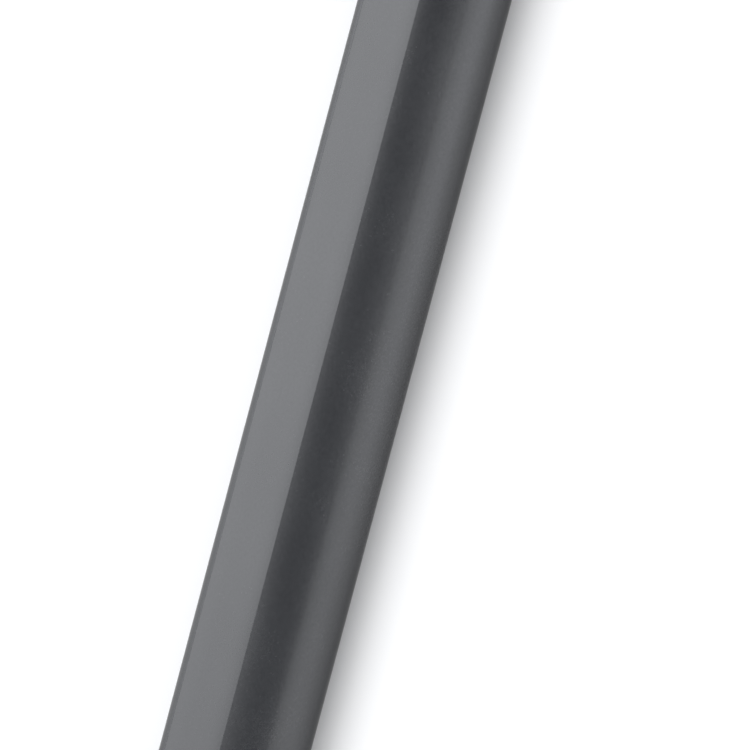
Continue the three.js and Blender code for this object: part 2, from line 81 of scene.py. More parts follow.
# ------------------------------------------------------------------ mesh building
class Shell:
    """Points and faces of one closed piece."""

    def __init__(self):
        self.v = []
        self.f = []

    def loop(self, pts):
        n = len(self.v)
        self.v.extend(pts)
        return list(range(n, n + len(pts)))

    def bridge(self, a, b, closed=True):
        n = len(a)
        for i in range(n if closed else n - 1):
            j = (i + 1) % n
            self.f.append((a[i], a[j], b[j], b[i]))

    def fan(self, loop, apex):
        k = self.loop([apex])[0]
        n = len(loop)
        for i in range(n):
            self.f.append((loop[i], loop[(i + 1) % n], k))

    def fill(self, outer, holes, inner_points, flat):
        """Triangles between an outer loop and hole loops; flat gives a vertex its 2-D place."""
        ids = list(outer)
        edges = [(i, (i + 1) % len(outer)) for i in range(len(outer))]
        rings = []
        for h in holes:
            k = len(ids)
            ids.extend(h)
            edges.extend((k + i, k + (i + 1) % len(h)) for i in range(len(h)))
            rings.append([flat(self.v[i]) for i in h])
        ids.extend(inner_points)
        co = [Vector(flat(self.v[i])) for i in ids]
        out = delaunay_2d_cdt(co, edges, [], 1, 1e-7)
        pts, faces, origin = out[0], out[2], out[3]
        for face in faces:
            mid = sum((pts[i] for i in face), Vector((0, 0))) / len(face)
            if any(inside(mid, r) for r in rings):
                continue
            self.f.append(tuple(ids[origin[i][0]] for i in face))

    def build(self, name, angle=32.0, material=None, body=None, slot=None, stands_for=()):
        me = bpy.data.meshes.new(name)
        me.from_pydata([at(*p) for p in self.v], [], self.f)
        bm = bmesh.new()
        bm.from_mesh(me)
        bmesh.ops.remove_doubles(bm, verts=bm.verts, dist=1e-8)
        bmesh.ops.recalc_face_normals(bm, faces=bm.faces)
        bm.to_mesh(me)
        bm.free()
        me.validate()
        for p in me.polygons:
            p.use_smooth = True
        me.set_sharp_from_angle(angle=math.radians(angle))
        ob = bpy.data.objects.new(name, me)
        bpy.context.scene.collection.objects.link(ob)
        weigh = ob.modifiers.new("weighted", "WEIGHTED_NORMAL")
        weigh.keep_sharp = True
        weigh.weight = 60
        if material:
            me.materials.append(material)
        if body:
            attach(ob, body)
        if stands_for:
            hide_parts(*stands_for)
        return ob


def inside(p, ring):
    hit = False
    n = len(ring)
    for i in range(n):
        (x0, y0), (x1, y1) = ring[i], ring[(i + 1) % n]
        if (y0 > p[1]) != (y1 > p[1]) and p[0] < (x1 - x0) * (p[1] - y0) / (y1 - y0) + x0:
            hit = not hit
    return hit


def rounded(pts, steps=5):
    """A polyline of (s, r) or (s, r, radius): a corner with a radius becomes an arc."""
    out = []
    n = len(pts)
    for i, p in enumerate(pts):
        rad = p[2] if len(p) > 2 else 0.0
        if rad <= 0 or i == 0 or i == n - 1:
            out.append((p[0], p[1]))
            continue
        a, b, c = (Vector(pts[i - 1][:2]), Vector(p[:2]), Vector(pts[i + 1][:2]))
        u, w = (a - b), (c - b)
        lu, lw = u.length, w.length
        u.normalize()
        w.normalize()
        cos = max(-1, min(1, u.dot(w)))
        half = math.acos(cos) / 2
        if half > math.pi / 2 - 0.02:
            out.append((p[0], p[1]))
            continue
        d = min(rad / math.tan(half), lu * 0.49, lw * 0.49)
        rad = d * math.tan(half)
        mid = b + (u + w).normalized() * (rad / math.sin(half))
        start, end = b + u * d, b + w * d
        a0 = math.atan2(start.y - mid.y, start.x - mid.x)
        a1 = math.atan2(end.y - mid.y, end.x - mid.x)
        turn = (a1 - a0 + math.pi) % (2 * math.pi) - math.pi
        for k in range(steps + 1):
            t = a0 + turn * k / steps
            out.append((mid.x + rad * math.cos(t), mid.y + rad * math.sin(t)))
    return out


def circle(r, n, dz=0.0, phase=0.0):
    return [
        (r * math.cos(phase + 2 * math.pi * i / n), dz + r * math.sin(phase + 2 * math.pi * i / n))
        for i in range(n)
    ]


N_ROUND, N_FLAT, N_FILLET = 168, 20, 6
CROWN = 0.03  # the flat falls away by this much towards its two creases


def d_ring(r, flat=FLAT, fillet=0.07):
    """The D outline in (y, z): fillet, flat, fillet, then the round side; the same count
    for every radius, so rings of a taper join point to point. Where the round doesn't
    reach the flat, it is a circle. The flat is very slightly crowned."""
    pts = []
    if r > flat + 0.02:
        f = min(fillet, (r - flat) * 0.6)
        drop = CROWN * min(1.0, (r - flat) / 0.5)
        zc = flat - drop - f
        yc = math.sqrt((r - f) ** 2 - zc ** 2)
        a1 = math.atan2(zc, yc)
        lean = math.atan2(4 * drop, yc)  # slope of the crown where it meets the fillet
        a2 = math.pi / 2 - lean
        arc = [(f * math.cos(a1 + (a2 - a1) * i / N_FILLET), zc + f * math.sin(a1 + (a2 - a1) * i / N_FILLET)) for i in range(N_FILLET + 1)]
        edge_y, edge_z = yc + arc[-1][0], arc[-1][1]
        pts += [(yc + y, z) for y, z in arc]
        for i in range(1, N_FLAT):
            y = edge_y * (1 - 2 * i / N_FLAT)
            k = abs(y / edge_y) ** 4
            pts.append((y, flat + (edge_z - flat) * k))
        pts += [(-yc - y, z) for y, z in reversed(arc)]
    else:
        a1 = math.pi / 2 - math.radians(5)
        top = 2 * N_FILLET + N_FLAT
        for i in range(top + 1):
            a = a1 + 2 * (math.pi / 2 - a1) * i / top
            pts.append((r * math.cos(a), min(r * math.sin(a), flat)))
    a0, a2 = math.pi - a1, 2 * math.pi + a1
    for i in range(1, N_ROUND):
        a = a0 + (a2 - a0) * i / N_ROUND
        pts.append((r * math.cos(a), r * math.sin(a)))
    return pts


def rings(shell, stations, closed=False):
    """Joins rings of equal count. A station is (s, points) or (s, None, z) for a point on the axis."""
    loops = []
    for st in stations:
        if st[1] is None:
            loops.append(("apex", (st[0], 0.0, st[2])))
        else:
            loops.append(("ring", shell.loop([(st[0], y, z) for y, z in st[1]])))
    pairs = list(zip(loops, loops[1:]))
    if closed:
        pairs.append((loops[-1], loops[0]))
    for (ka, a), (kb, b) in pairs:
        if ka == "ring" and kb == "ring":
            shell.bridge(a, b)
        elif ka == "ring":
            shell.fan(a, b)
        elif kb == "ring":
            shell.fan(b, a)


def lathe(profile, n=96, dz=0.0, closed=False):
    """A turned piece from (s, r) points; r = 0 is a point on the axis."""
    sh = Shell()
    rings(sh, [(s, None, dz) if r < 1e-6 else (s, circle(r, n, dz)) for s, r in profile], closed)
    return sh


def closed_profile(pts, steps=5):
    """Rounds every corner of a closed profile, the first and last too."""
    n = len(pts)
    ext = [pts[-1]] + list(pts) + [pts[0]]
    out = rounded(ext, steps)
    return out[1:-1]


def stadium(s, length, width, off=0.0, arc=14, marks=()):
    """A stadium in (s, y), long side along s, drawn in by off; marks are extra places on its straight sides."""
    w = width / 2
    h = length / 2 - w
    r = w - off
    pts = []
    for i in range(arc + 1):
        a = -math.pi / 2 + math.pi * i / arc
        pts.append((s + h + r * math.cos(a), r * math.sin(a)))
    for m in sorted(marks, reverse=True):
        pts.append((s + m, r))
    for i in range(arc + 1):
        a = math.pi / 2 + math.pi * i / arc
        pts.append((s - h + r * math.cos(a), r * math.sin(a)))
    for m in sorted(marks):
        pts.append((s + m, -r))
    return pts


def tube(s0, s1, holes=(), edge=0.1, inner_edge=0.06, hole_edge=0.07):
    """A length of the D-section tube with its round bore. holes are (low s, high s, outline(off)) through the flat."""
    sh = Shell()

    def outer(s, drawn):
        pts = d_ring(R - drawn, FLAT - drawn) if drawn else d_ring(R)
        return sh.loop([(s, y, z) for y, z in pts])

    n_top, half = 12, math.asin(2.1 / BORE_R)
    n_rest = 108

    def bore(s, grown=0.0):
        r = BORE_R + grown
        pts = []
        for i in range(n_top + 1):
            a = math.pi / 2 - half + 2 * half * i / n_top
            pts.append((s, r * math.cos(a), BORE_DZ + r * math.sin(a)))
        for i in range(1, n_rest):
            a = math.pi / 2 + half + (2 * math.pi - 2 * half) * i / n_rest
            pts.append((s, r * math.cos(a), BORE_DZ + r * math.sin(a)))
        return sh.loop(pts)

    steps = 4
    turn = [math.pi / 2 * i / steps for i in range(steps + 1)]
    plan = [(s0 + edge * (1 - math.cos(a)), edge * (1 - math.sin(a))) for a in turn]
    spans = []
    if holes:
        lo = min(h[0] for h in holes) - 1.5
        hi = max(h[1] for h in holes) + 1.5
        spans = [lo, hi]
    # plain stations keep the long faces of a sane length
    plain = [s0 + (s1 - s0) * i / 8 for i in range(1, 8)]
    plain = [p for p in plain if not spans or p < spans[0] - 2 or p > spans[1] + 2]
    mids = sorted(plain + spans)
    stations = [(s, d) for s, d in plan] + [(s, 0.0) for s in mids] + [
        (s0 + s1 - s, d) for s, d in reversed(plan)
    ]
    loops = [(s, outer(s, d)) for s, d in stations]
    i_flat = (N_FILLET, N_FILLET + N_FLAT)
    bores = [(s0, bore(s0, inner_edge)), (s0 + inner_edge, bore(s0 + inner_edge))]
    bores += [(s, bore(s)) for s in mids]
    bores += [(s1 - inner_edge, bore(s1 - inner_edge)), (s1, bore(s1, inner_edge))]

    ring0 = d_ring(R)
    edge_y, edge_z = ring0[N_FILLET]

    def skin(y):
        return FLAT + (edge_z - FLAT) * min(1.0, abs(y / edge_y)) ** 4

    top_loops, low_loops = [], []
    for lo, hi, outline in holes:
        wide = [(s, y, skin(y)) for s, y in outline(-hole_edge)]
        last = sh.loop(wide)
        top_loops.append(last)
        for k in range(1, 5):
            a = math.pi / 2 * k / 4
            nxt = sh.loop([(s, y, skin(y) - hole_edge * (1 - math.cos(a))) for s, y in outline(-hole_edge * (1 - math.sin(a)))])
            sh.bridge(last, nxt)
            last = nxt
        low = sh.loop([(s, y, math.sqrt(BORE_R ** 2 - y * y) + BORE_DZ) for s, y in outline(0.0)])
        sh.bridge(last, low)
        low_loops.append(low)

    for (sa, a), (sb, b) in zip(loops, loops[1:]):
        if spans and abs(sa - spans[0]) < 1e-9 and abs(sb - spans[1]) < 1e-9:
            n = len(a)
            for i in range(n):
                if i_flat[0] <= i < i_flat[1]:
                    continue
                j = (i + 1) % n
                sh.f.append((a[i], a[j], b[j], b[i]))
            rim = a[i_flat[0]: i_flat[1] + 1] + b[i_flat[0]: i_flat[1] + 1][::-1]
            keep_out = [outline(-0.16) for _, _, outline in holes]
            grid = []
            cols = int((sb - sa) / 0.5)
            for col in range(1, cols):
                s = sa + (sb - sa) * col / cols
                for k in range(1, N_FLAT):
                    y = ring0[N_FILLET + k][0]
                    if not any(inside((s, y), ring) for ring in keep_out):
                        grid.append((s, y, skin(y)))
            sh.fill(rim, top_loops, sh.loop(grid), lambda p: (p[0], p[1]))
        else:
            sh.bridge(a, b)
    for (sa, a), (sb, b) in zip(bores, bores[1:]):
        if spans and abs(sa - spans[0]) < 1e-9 and abs(sb - spans[1]) < 1e-9:
            n = len(a)
            for i in range(n):
                if i < n_top:
                    continue
                j = (i + 1) % n
                sh.f.append((a[i], a[j], b[j], b[i]))
            rim = a[: n_top + 1] + b[: n_top + 1][::-1]
            keep_out = [[(s, y) for s, y in outline(-0.12)] for _, _, outline in holes]
            grid = []
            cols = int((sb - sa) / 0.8)
            for col in range(1, cols):
                s = sa + (sb - sa) * col / cols
                for k in range(1, n_top):
                    ang = math.pi / 2 - half + 2 * half * k / n_top
                    y, z = BORE_R * math.cos(ang), BORE_DZ + BORE_R * math.sin(ang)
                    if not any(inside((s, y), r) for r in keep_out):
                        grid.append((s, y, z))
            sh.fill(rim, low_loops, sh.loop(grid), lambda p: (p[0], p[1]))
        else:
            sh.bridge(a, b)
    for o, i in ((loops[0][1], bores[0][1]), (loops[-1][1], bores[-1][1])):
        sh.fill(o, [i], [], lambda p: (p[1], p[2]))
    return sh


def sweep(path, radius, sides=12):
    """A round wire along a path of (s, y, z) points, with closed ends."""
    sh = Shell()
    P = [Vector(p) for p in path]
    up = None
    loops = []
    for i, p in enumerate(P):
        t = (P[min(i + 1, len(P) - 1)] - P[max(i - 1, 0)]).normalized()
        if up is None:
            up = t.orthogonal().normalized()
        up = (up - t * up.dot(t)).normalized()
        w = t.cross(up)
        loops.append(
            sh.loop([tuple(p + radius * (math.cos(2 * math.pi * k / sides) * up + math.sin(2 * math.pi * k / sides) * w)) for k in range(sides)])
        )
    for a, b in zip(loops, loops[1:]):
        sh.bridge(a, b)
    sh.fan(loops[0], tuple(P[0]))
    sh.fan(loops[-1], tuple(P[-1]))
    return sh


def helix(s0, s1, r0, r1, wire, turns, dz=0.0, flat=0.25, per_turn=44):
    n = int(turns * per_turn)
    a, b = s0 + wire / 2, s1 - wire / 2
    e = flat / turns
    pts = []
    for i in range(n + 1):
        t = i / n
        u = min(1, max(0, (t - e) / (1 - 2 * e)))
        ang = t * turns * 2 * math.pi
        r = r0 + (r1 - r0) * t
        pts.append((a + (b - a) * u, r * math.cos(ang), dz + r * math.sin(ang)))
    return sweep(pts, wire / 2)


# ------------------------------------------------------------------ materials
class Look:
    """A node material with the few texture nodes that these finishes need."""

    def __init__(self, name, colour, rough, metal=0.0, **sockets):
        m = bpy.data.materials.new(name)
        m.use_nodes = True
        self.m, self.nt = m, m.node_tree
        self.b = self.nt.nodes["Principled BSDF"]
        self.b.inputs["Base Color"].default_value = (*colour, 1)
        self.b.inputs["Roughness"].default_value = rough
        self.b.inputs["Metallic"].default_value = metal
        for k, v in sockets.items():
            self.b.inputs[k.replace("_", " ")].default_value = v
        self.colour, self.rough = colour, rough
        self.co = self.nt.nodes.new("ShaderNodeTexCoord")

    def link(self, a, b):
        self.nt.links.new(a, b)

    def coords(self, stretch=(1, 1, 1)):
        if stretch == (1, 1, 1):
            return self.co.outputs["Object"]
        mp = self.nt.nodes.new("ShaderNodeMapping")
        mp.inputs["Scale"].default_value = stretch
        self.link(self.co.outputs["Object"], mp.inputs["Vector"])
        return mp.outputs["Vector"]

    def noise(self, size_mm, detail=2.0, stretch=(1, 1, 1), rough=0.5):
        n = self.nt.nodes.new("ShaderNodeTexNoise")
        n.inputs["Scale"].default_value = 1000.0 / size_mm
        n.inputs["Detail"].default_value = detail
        n.inputs["Roughness"].default_value = rough
        self.link(self.coords(stretch), n.inputs["Vector"])
        return n.outputs["Fac"]

    def cells(self, size_mm, feature="F1", stretch=(1, 1, 1)):
        n = self.nt.nodes.new("ShaderNodeTexVoronoi")
        n.feature = feature
        n.inputs["Scale"].default_value = 1000.0 / size_mm
        self.link(self.coords(stretch), n.inputs["Vector"])
        return n.outputs["Distance"]

    def span(self, src, lo, hi, a=0.3, b=0.7):
        n = self.nt.nodes.new("ShaderNodeMapRange")
        n.inputs["From Min"].default_value = a
        n.inputs["From Max"].default_value = b
        n.inputs["To Min"].default_value = lo
        n.inputs["To Max"].default_value = hi
        self.link(src, n.inputs["Value"])
        return n.outputs["Result"]

    def ramp(self, src, stops):
        n = self.nt.nodes.new("ShaderNodeValToRGB")
        e = n.color_ramp.elements
        while len(e) < len(stops):
            e.new(0.5)
        for el, (pos, col) in zip(e, stops):
            el.position = pos
            el.color = (*col, 1)
        self.link(src, n.inputs["Fac"])
        return n.outputs["Color"]

    def math(self, op, a, b=None):
        n = self.nt.nodes.new("ShaderNodeMath")
        n.operation = op
        for i, v in enumerate((a, b)):
            if v is None:
                continue
            if isinstance(v, (int, float)):
                n.inputs[i].default_value = v
            else:
                self.link(v, n.inputs[i])
        return n.outputs["Value"]

    def mix(self, fac, a, b):
        n = self.nt.nodes.new("ShaderNodeMix")
        n.data_type = "RGBA"
        self.link(fac, n.inputs["Factor"])
        for sock, v in (("A", a), ("B", b)):
            i = [x for x in n.inputs if x.name == sock and x.type == "RGBA"][0]
            if isinstance(v, tuple):
                i.default_value = (*v, 1)
            else:
                self.link(v, i)
        return [o for o in n.outputs if o.type == "RGBA"][0]

    def vary(self, src, amount, a=0.3, b=0.7):
        """Base colour from amount darker to amount lighter over the source."""
        lo = tuple(c * (1 - amount) for c in self.colour)
        hi = tuple(min(1, c * (1 + amount)) for c in self.colour)
        self.link(self.ramp(src, [(a, lo), (b, hi)]), self.b.inputs["Base Color"])
        return self

    def gloss(self, src, amount, a=0.3, b=0.7):
        self.link(self.span(src, self.rough - amount, self.rough + amount, a, b), self.b.inputs["Roughness"])
        return self

    def bump(self, height, depth_mm, strength=1.0):
        n = self.nt.nodes.new("ShaderNodeBump")
        n.inputs["Strength"].default_value = strength
        n.inputs["Distance"].default_value = depth_mm * MM
        self.link(height, n.inputs["Height"])
        self.link(n.outputs["Normal"], self.b.inputs["Normal"])
        return self


def blasted(name, colour, rough, grain, depth, **k):
    """Fine bead-blasted and anodised metal: an even small grain, with a cloud of slightly
    different sheen over it."""
    L = Look(name, colour, rough, 1.0, Specular_Tint=(0.53, 0.53, 0.53, 1), **k)
    fine = L.noise(grain, 3.0, rough=0.6)
    cloud = L.noise(7.0, 3.0)
    L.vary(L.math("ADD", L.math("MULTIPLY", fine, 0.7), L.math("MULTIPLY", cloud, 0.3)), 0.10)
    L.gloss(L.math("ADD", L.math("MULTIPLY", fine, 0.5), L.math("MULTIPLY", cloud, 0.5)), 0.03)
    L.bump(fine, depth)
    return L


def moulded(name, colour, rough, grain, depth, **k):
    """Moulded plastic with the fine even texture of its tool."""
    L = Look(name, colour, rough, 0.0, **k)
    fine = L.noise(grain, 3.0, rough=0.65)
    cloud = L.noise(5.0, 2.0)
    L.vary(L.math("ADD", L.math("MULTIPLY", fine, 0.7), L.math("MULTIPLY", cloud, 0.3)), 0.10)
    L.gloss(cloud, 0.04)
    L.bump(fine, depth)
    return L


anodised = blasted("anodised_barrel", (0.0982, 0.0997, 0.1030), 0.26, 0.20, 0.0012)
nose_mat = moulded("nose_moulding", (0.040, 0.041, 0.044), 0.42, 0.10, 0.004)
nib_mat = moulded("nib_moulding", (0.022, 0.022, 0.024), 0.50, 0.08, 0.004)
button_mat = moulded("button_moulding", (0.047, 0.048, 0.051), 0.36, 0.09, 0.002)
eraser_mat = moulded("eraser_moulding", (0.028, 0.029, 0.031), 0.62, 0.12, 0.006)
frame_mat = moulded("filled_nylon", (0.016, 0.016, 0.017), 0.55, 0.18, 0.008)
rubber_mat = moulded("seal_rubber", (0.010, 0.010, 0.011), 0.75, 0.14, 0.008)
chip_mat = moulded("chip_epoxy", (0.012, 0.012, 0.013), 0.45, 0.05, 0.004)
paste_mat = moulded("cell_paste", (0.045, 0.045, 0.047), 0.85, 0.12, 0.012)


def turned_metal(name, colour, rough, depth=0.0012):
    """Turned metal: fine rings about the pen's axis."""
    L = Look(name, colour, rough, 1.0)
    lines = L.noise(0.05, 3.0, stretch=(1, 0.04, 0.04))
    L.vary(L.noise(2.5, 2.0), 0.05)
    L.gloss(lines, 0.06)
    L.bump(lines, depth)
    return L


def drawn_metal(name, colour, rough, stretch, size=0.06, depth=0.0015, tarnish=0.06):
    L = Look(name, colour, rough, 1.0)
    lines = L.noise(size, 3.0, stretch=stretch)
    L.vary(L.noise(1.6, 4.0), tarnish)
    L.gloss(lines, 0.07)
    L.bump(lines, depth)
    return L


trim_mat = turned_metal("polished_trim", (0.34, 0.345, 0.36), 0.19)
steel_mat = drawn_metal("spring_steel", (0.47, 0.47, 0.48), 0.28, (0.3, 1, 1), 0.06, 0.0005)
chassis_mat = drawn_metal("chassis_steel", (0.42, 0.42, 0.43), 0.36, (0.03, 1, 1), 0.09)
brass_mat = drawn_metal("contact_brass", (0.72, 0.50, 0.20), 0.27, (1, 0.3, 1), 0.07, 0.0004, 0.12)
magnet_mat = drawn_metal("magnet_nickel", (0.55, 0.54, 0.52), 0.22, (0.6, 1, 1), 0.4, 0.0015, 0.05)

cell_steel_mat = drawn_metal("cell_steel", (0.50, 0.50, 0.51), 0.25, (1, 0.2, 0.2), 0.08, 0.0006, 0.05)


def cell_wrap():
    """The cell's printed film: a dark sleeve with a lighter band at the positive end, no print."""
    L = Look("cell_wrap", (0.05, 0.055, 0.06), 0.30, 0.35, Coat_Weight=0.4, Coat_Roughness=0.12)
    sep = L.nt.nodes.new("ShaderNodeSeparateXYZ")
    L.link(L.co.outputs["Object"], sep.inputs["Vector"])
    x = sep.outputs["X"]
    band = L.span(x, 1.0, 0.0, at(87.0, 0, 0)[0], at(87.12, 0, 0)[0])
    thin = L.math("MULTIPLY", L.span(x, 0.0, 1.0, at(88.0, 0, 0)[0], at(88.05, 0, 0)[0]), L.span(x, 1.0, 0.0, at(88.5, 0, 0)[0], at(88.55, 0, 0)[0]))
    speck = L.noise(0.12, 3.0)
    dark = L.ramp(speck, [(0.3, (0.040, 0.045, 0.050)), (0.7, (0.052, 0.058, 0.066))])
    light = L.ramp(speck, [(0.3, (0.34, 0.25, 0.13)), (0.7, (0.40, 0.30, 0.16))])
    L.link(L.mix(L.math("MAXIMUM", band, thin), dark, light), L.b.inputs["Base Color"])
    L.gloss(L.noise(3.0, 2.0), 0.05)
    L.bump(L.noise(1.8, 2.0), 0.0015)
    return L


def circuit():
    """Dark green solder mask over copper: tracks show as lighter, slightly raised lines."""
    L = Look("circuit_board", (0.010, 0.055, 0.030), 0.34, 0.0, Coat_Weight=0.3, Coat_Roughness=0.15)
    n = L.nt.nodes.new("ShaderNodeTexBrick")
    n.offset = 0.37
    n.inputs["Color1"].default_value = (0.0, 0.0, 0.0, 1)
    n.inputs["Color2"].default_value = (0.12, 0.12, 0.12, 1)
    n.inputs["Mortar"].default_value = (1, 1, 1, 1)
    n.inputs["Scale"].default_value = 1000.0 / 0.8
    n.inputs["Mortar Size"].default_value = 0.075
    n.inputs["Brick Width"].default_value = 1.9
    n.inputs["Row Height"].default_value = 0.45
    L.link(L.coords(), n.inputs["Vector"])
    fac = n.outputs["Color"]
    grain = L.noise(0.5, 3.0)
    mask = L.ramp(grain, [(0.3, (0.006, 0.042, 0.022)), (0.7, (0.009, 0.055, 0.030))])
    track = L.ramp(grain, [(0.3, (0.020, 0.110, 0.050)), (0.7, (0.026, 0.130, 0.062))])
    L.link(L.mix(fac, mask, track), L.b.inputs["Base Color"])
    L.gloss(grain, 0.05)
    L.bump(fac, 0.03)
    return L


def amber():
    L = Look("amber_film", (0.45, 0.17, 0.03), 0.30, 0.0, Coat_Weight=0.5, Coat_Roughness=0.1)
    w = L.nt.nodes.new("ShaderNodeTexWave")
    w.wave_type = "BANDS"
    w.bands_direction = "Y"
    w.inputs["Scale"].default_value = 1000.0 / 3.2
    w.inputs["Distortion"].default_value = 0.0
    L.link(L.co.outputs["Object"], w.inputs["Vector"])
    L.link(L.ramp(w.outputs["Fac"], [(0.45, (0.40, 0.15, 0.025)), (0.55, (0.62, 0.26, 0.06))]), L.b.inputs["Base Color"])
    L.gloss(L.noise(0.6), 0.05)
    L.bump(w.outputs["Fac"], 0.01)
    return L


def ceramic():
    L = Look("fired_ceramic", (0.46, 0.38, 0.27), 0.48, 0.0)
    L.vary(L.noise(0.25, 4.0), 0.12)
    L.gloss(L.noise(0.5), 0.06)
    L.bump(L.noise(0.1, 3.0), 0.006)
    return L


def clear():
    L = Look("light_window", (0.86, 0.88, 0.90), 0.12, 0.0, Transmission_Weight=0.85, IOR=1.49)
    L.vary(L.noise(0.4, 2.0), 0.04)
    L.gloss(L.noise(0.3, 2.0), 0.04)
    L.bump(L.noise(0.2), 0.002)
    return L


wrap_mat, board_mat, amber_mat, ceramic_mat, clear_mat = cell_wrap(), circuit(), amber(), ceramic(), clear()

# ------------------------------------------------------------------ barrel and sleeve
slot_outline = lambda off: stadium(BUTTON_S, 18.2 + 0.24, 2.7 + 0.24, off, 16, (-4, 0, 4))
# a stadium drawn in by off has its straight sides moved too, so the length is right either way
light_outline = lambda off: [(LIGHT_S + x, y) for x, y in circle(0.52 - off, 32)]
tube(17.15, 129.0, [(30.8, 49.3, slot_outline), (52.9, 54.1, light_outline)]).build(
    "barrel_tube", 25, anodised.m, "pen", "barrel_metal", ("barrel",)
)
tube(129.15, 141.15).build("tail_sleeve_tube", 25, anodised.m, "cap", "barrel_metal", ("tail_sleeve",))


# ------------------------------------------------------------------ nose
def nose_radius(s):
    t = (s - 3.2) / 13.8
    return 1.9 + (R - 0.01 - 1.9) * (1 - (1 - t) ** 1.4)


nose = Shell()
st = []
for s, r in rounded([(4.4, 1.36), (3.2, 1.36, 0.14), (3.2, nose_radius(3.55), 0.32), (4.4, nose_radius(4.4))], 7)[1:-1]:
    st.append((s, r, 0.0))
s = 4.0
while s < 16.85:
    st.append((s, nose_radius(s), 0.0))
    s += 0.16 if s > 12 else 0.4
last = nose_radius(16.9)
for i in range(5):
    a = math.pi / 2 * i / 4
    st.append((16.9 + 0.1 * math.sin(a), last - 0.1 * (1 - math.cos(a)), 0.0))
st += [
    (17.0, 4.1, BORE_DZ), (20.05, 4.1, BORE_DZ), (20.2, 3.95, BORE_DZ), (20.2, 3.55, BORE_DZ), (17.0, 3.55, BORE_DZ),
    (14.2, 3.45, 0.0), (9.2, 2.35, 0.0), (6.2, 1.8, 0.0), (5.6, 1.36, 0.0), (4.4, 1.36, 0.0),
]


def nose_ring(s, r, dz):
    if dz:
        return [(y, z + dz) for y, z in d_ring(r, 99.0)]
    drawn = 0.0
    if 16.9 < s <= 17.0 and r > 4.5:
        drawn = last - r
    return d_ring(r, FLAT - drawn)


rings(nose, [(s, nose_ring(s, r, dz)) for s, r, dz in st], closed=True)
nose.build("nose_moulding", 25, nose_mat.m, "pen", "nose_plastic", ("nose_cone",))

# ------------------------------------------------------------------ nib
nib_profile = rounded(
    [
        (0.0, 0.0), (0.0, 0.55, 0.42), (1.2, 0.765, 1.5), (2.95, 1.15, 0.5), (5.0, 1.15, 0.06), (5.08, 0.8, 0.05),
        (17.9, 0.8, 0.1), (18.3, 0.5, 0.05), (18.3, 0.0),
    ],
    10,
)
lathe(nib_profile, 72).build("nib_tip", 30, nib_mat.m, "nib_piece", "nib_plastic", ("nib",))

# ------------------------------------------------------------------ rocker button
TOP = FLAT + 0.25
marks = sorted({round(x, 3) for x in [-7.4, -6.6, -5.8, -5, -4.2, -3.4, -2.6, -1.8, -1.2, -0.7, -0.4, -0.26, -0.2, -0.16, -0.12, -0.06, 0, 0.06, 0.12, 0.16, 0.2, 0.26, 0.4, 0.7, 1.2, 1.8, 2.6, 3.4, 4.2, 5, 5.8, 6.6, 7.4]})


def notch(s, z):
    d = abs(s - BUTTON_S)
    low = FLAT + 0.07
    k = min(1, max(0, (d - 0.11) / 0.10))
    k = k * k * (3 - 2 * k)
    return min(z, low + (TOP + 0.05 - low) * k)


rocker = Shell()


def rocker_loop(off, z, length=18.2, width=2.7):
    return rocker.loop([(s, y, notch(s, z)) for s, y in stadium(BUTTON_S, length, width, off, 16, marks)])


loops = [rocker_loop(0, 2.92, 19.2, 3.5), rocker_loop(0, 3.18, 19.2, 3.5), rocker_loop(0.06, 3.24, 19.2, 3.5)]
loops += [rocker_loop(0.0, 3.24), rocker_loop(0.0, TOP - 0.2)]
for k in range(1, 7):
    a = math.pi / 2 * k / 6
    loops.append(rocker_loop(0.2 * (1 - math.cos(a)), TOP - 0.2 * (1 - math.sin(a))))
for off in (0.45, 0.7, 0.95, 1.15, 1.28):
    dish = 0.05 * (1 - ((1.35 - off) / 1.15) ** 2)
    loops.append(rocker_loop(off, TOP + 0.0 - dish))
for a, b in zip(loops, loops[1:]):
    rocker.bridge(a, b)
rocker.fill(loops[-1], [], [], lambda p: (p[0], p[1]))
rocker.fill(loops[0], [], [], lambda p: (p[0], p[1]))


def block(sh, s0, s1, y0, y1, z0, z1, e=0.08):
    """A small box with chamfered edges."""
    def rect(d, z):
        a0, a1, b0, b1 = s0 + d, s1 - d, y0 + d, y1 - d
        return sh.loop([(a0 + e, b0, z), (a1 - e, b0, z), (a1, b0 + e, z), (a1, b1 - e, z), (a1 - e, b1, z), (a0 + e, b1, z), (a0, b1 - e, z), (a0, b0 + e, z)])
    ls = [rect(e, z0), rect(0, z0 + e), rect(0, z1 - e), rect(e, z1)]
    for a, b in zip(ls, ls[1:]):
        sh.bridge(a, b)
    sh.f.append(tuple(ls[0]))
    sh.f.append(tuple(ls[-1]))


for k in (-5.5, 5.5):
    block(rocker, BUTTON_S + k - 0.8, BUTTON_S + k + 0.8, -0.8, 0.8, 2.5, 2.96)
for k in (-1, 1):
    block(rocker, BUTTON_S + (-0.95 if k < 0 else 0.49), BUTTON_S + (-0.49 if k < 0 else 0.95), -1.15, 1.15, 2.1, 2.96, 0.05)
rocker.build("rocker_cap", 35, button_mat.m, "rocker", "button_plastic", ("side_button",))


# ------------------------------------------------------------------ light window
def lathe_up(s0, profile, n=48):
    """A piece turned about a vertical axis through the pen, from (r, z) points."""
    sh = Shell()
    prev = None
    for r, z in profile:
        cur = ("apex", (s0, 0.0, z)) if r < 1e-6 else ("ring", sh.loop([(s0 + r * math.cos(2 * math.pi * i / n), r * math.sin(2 * math.pi * i / n), z) for i in range(n)]))
        if prev:
            if prev[0] == "ring" and cur[0] == "ring":
                sh.bridge(prev[1], cur[1])
            elif prev[0] == "ring":
                sh.fan(prev[1], cur[1])
            else:
                sh.fan(cur[1], prev[1])
        prev = cur
    return sh


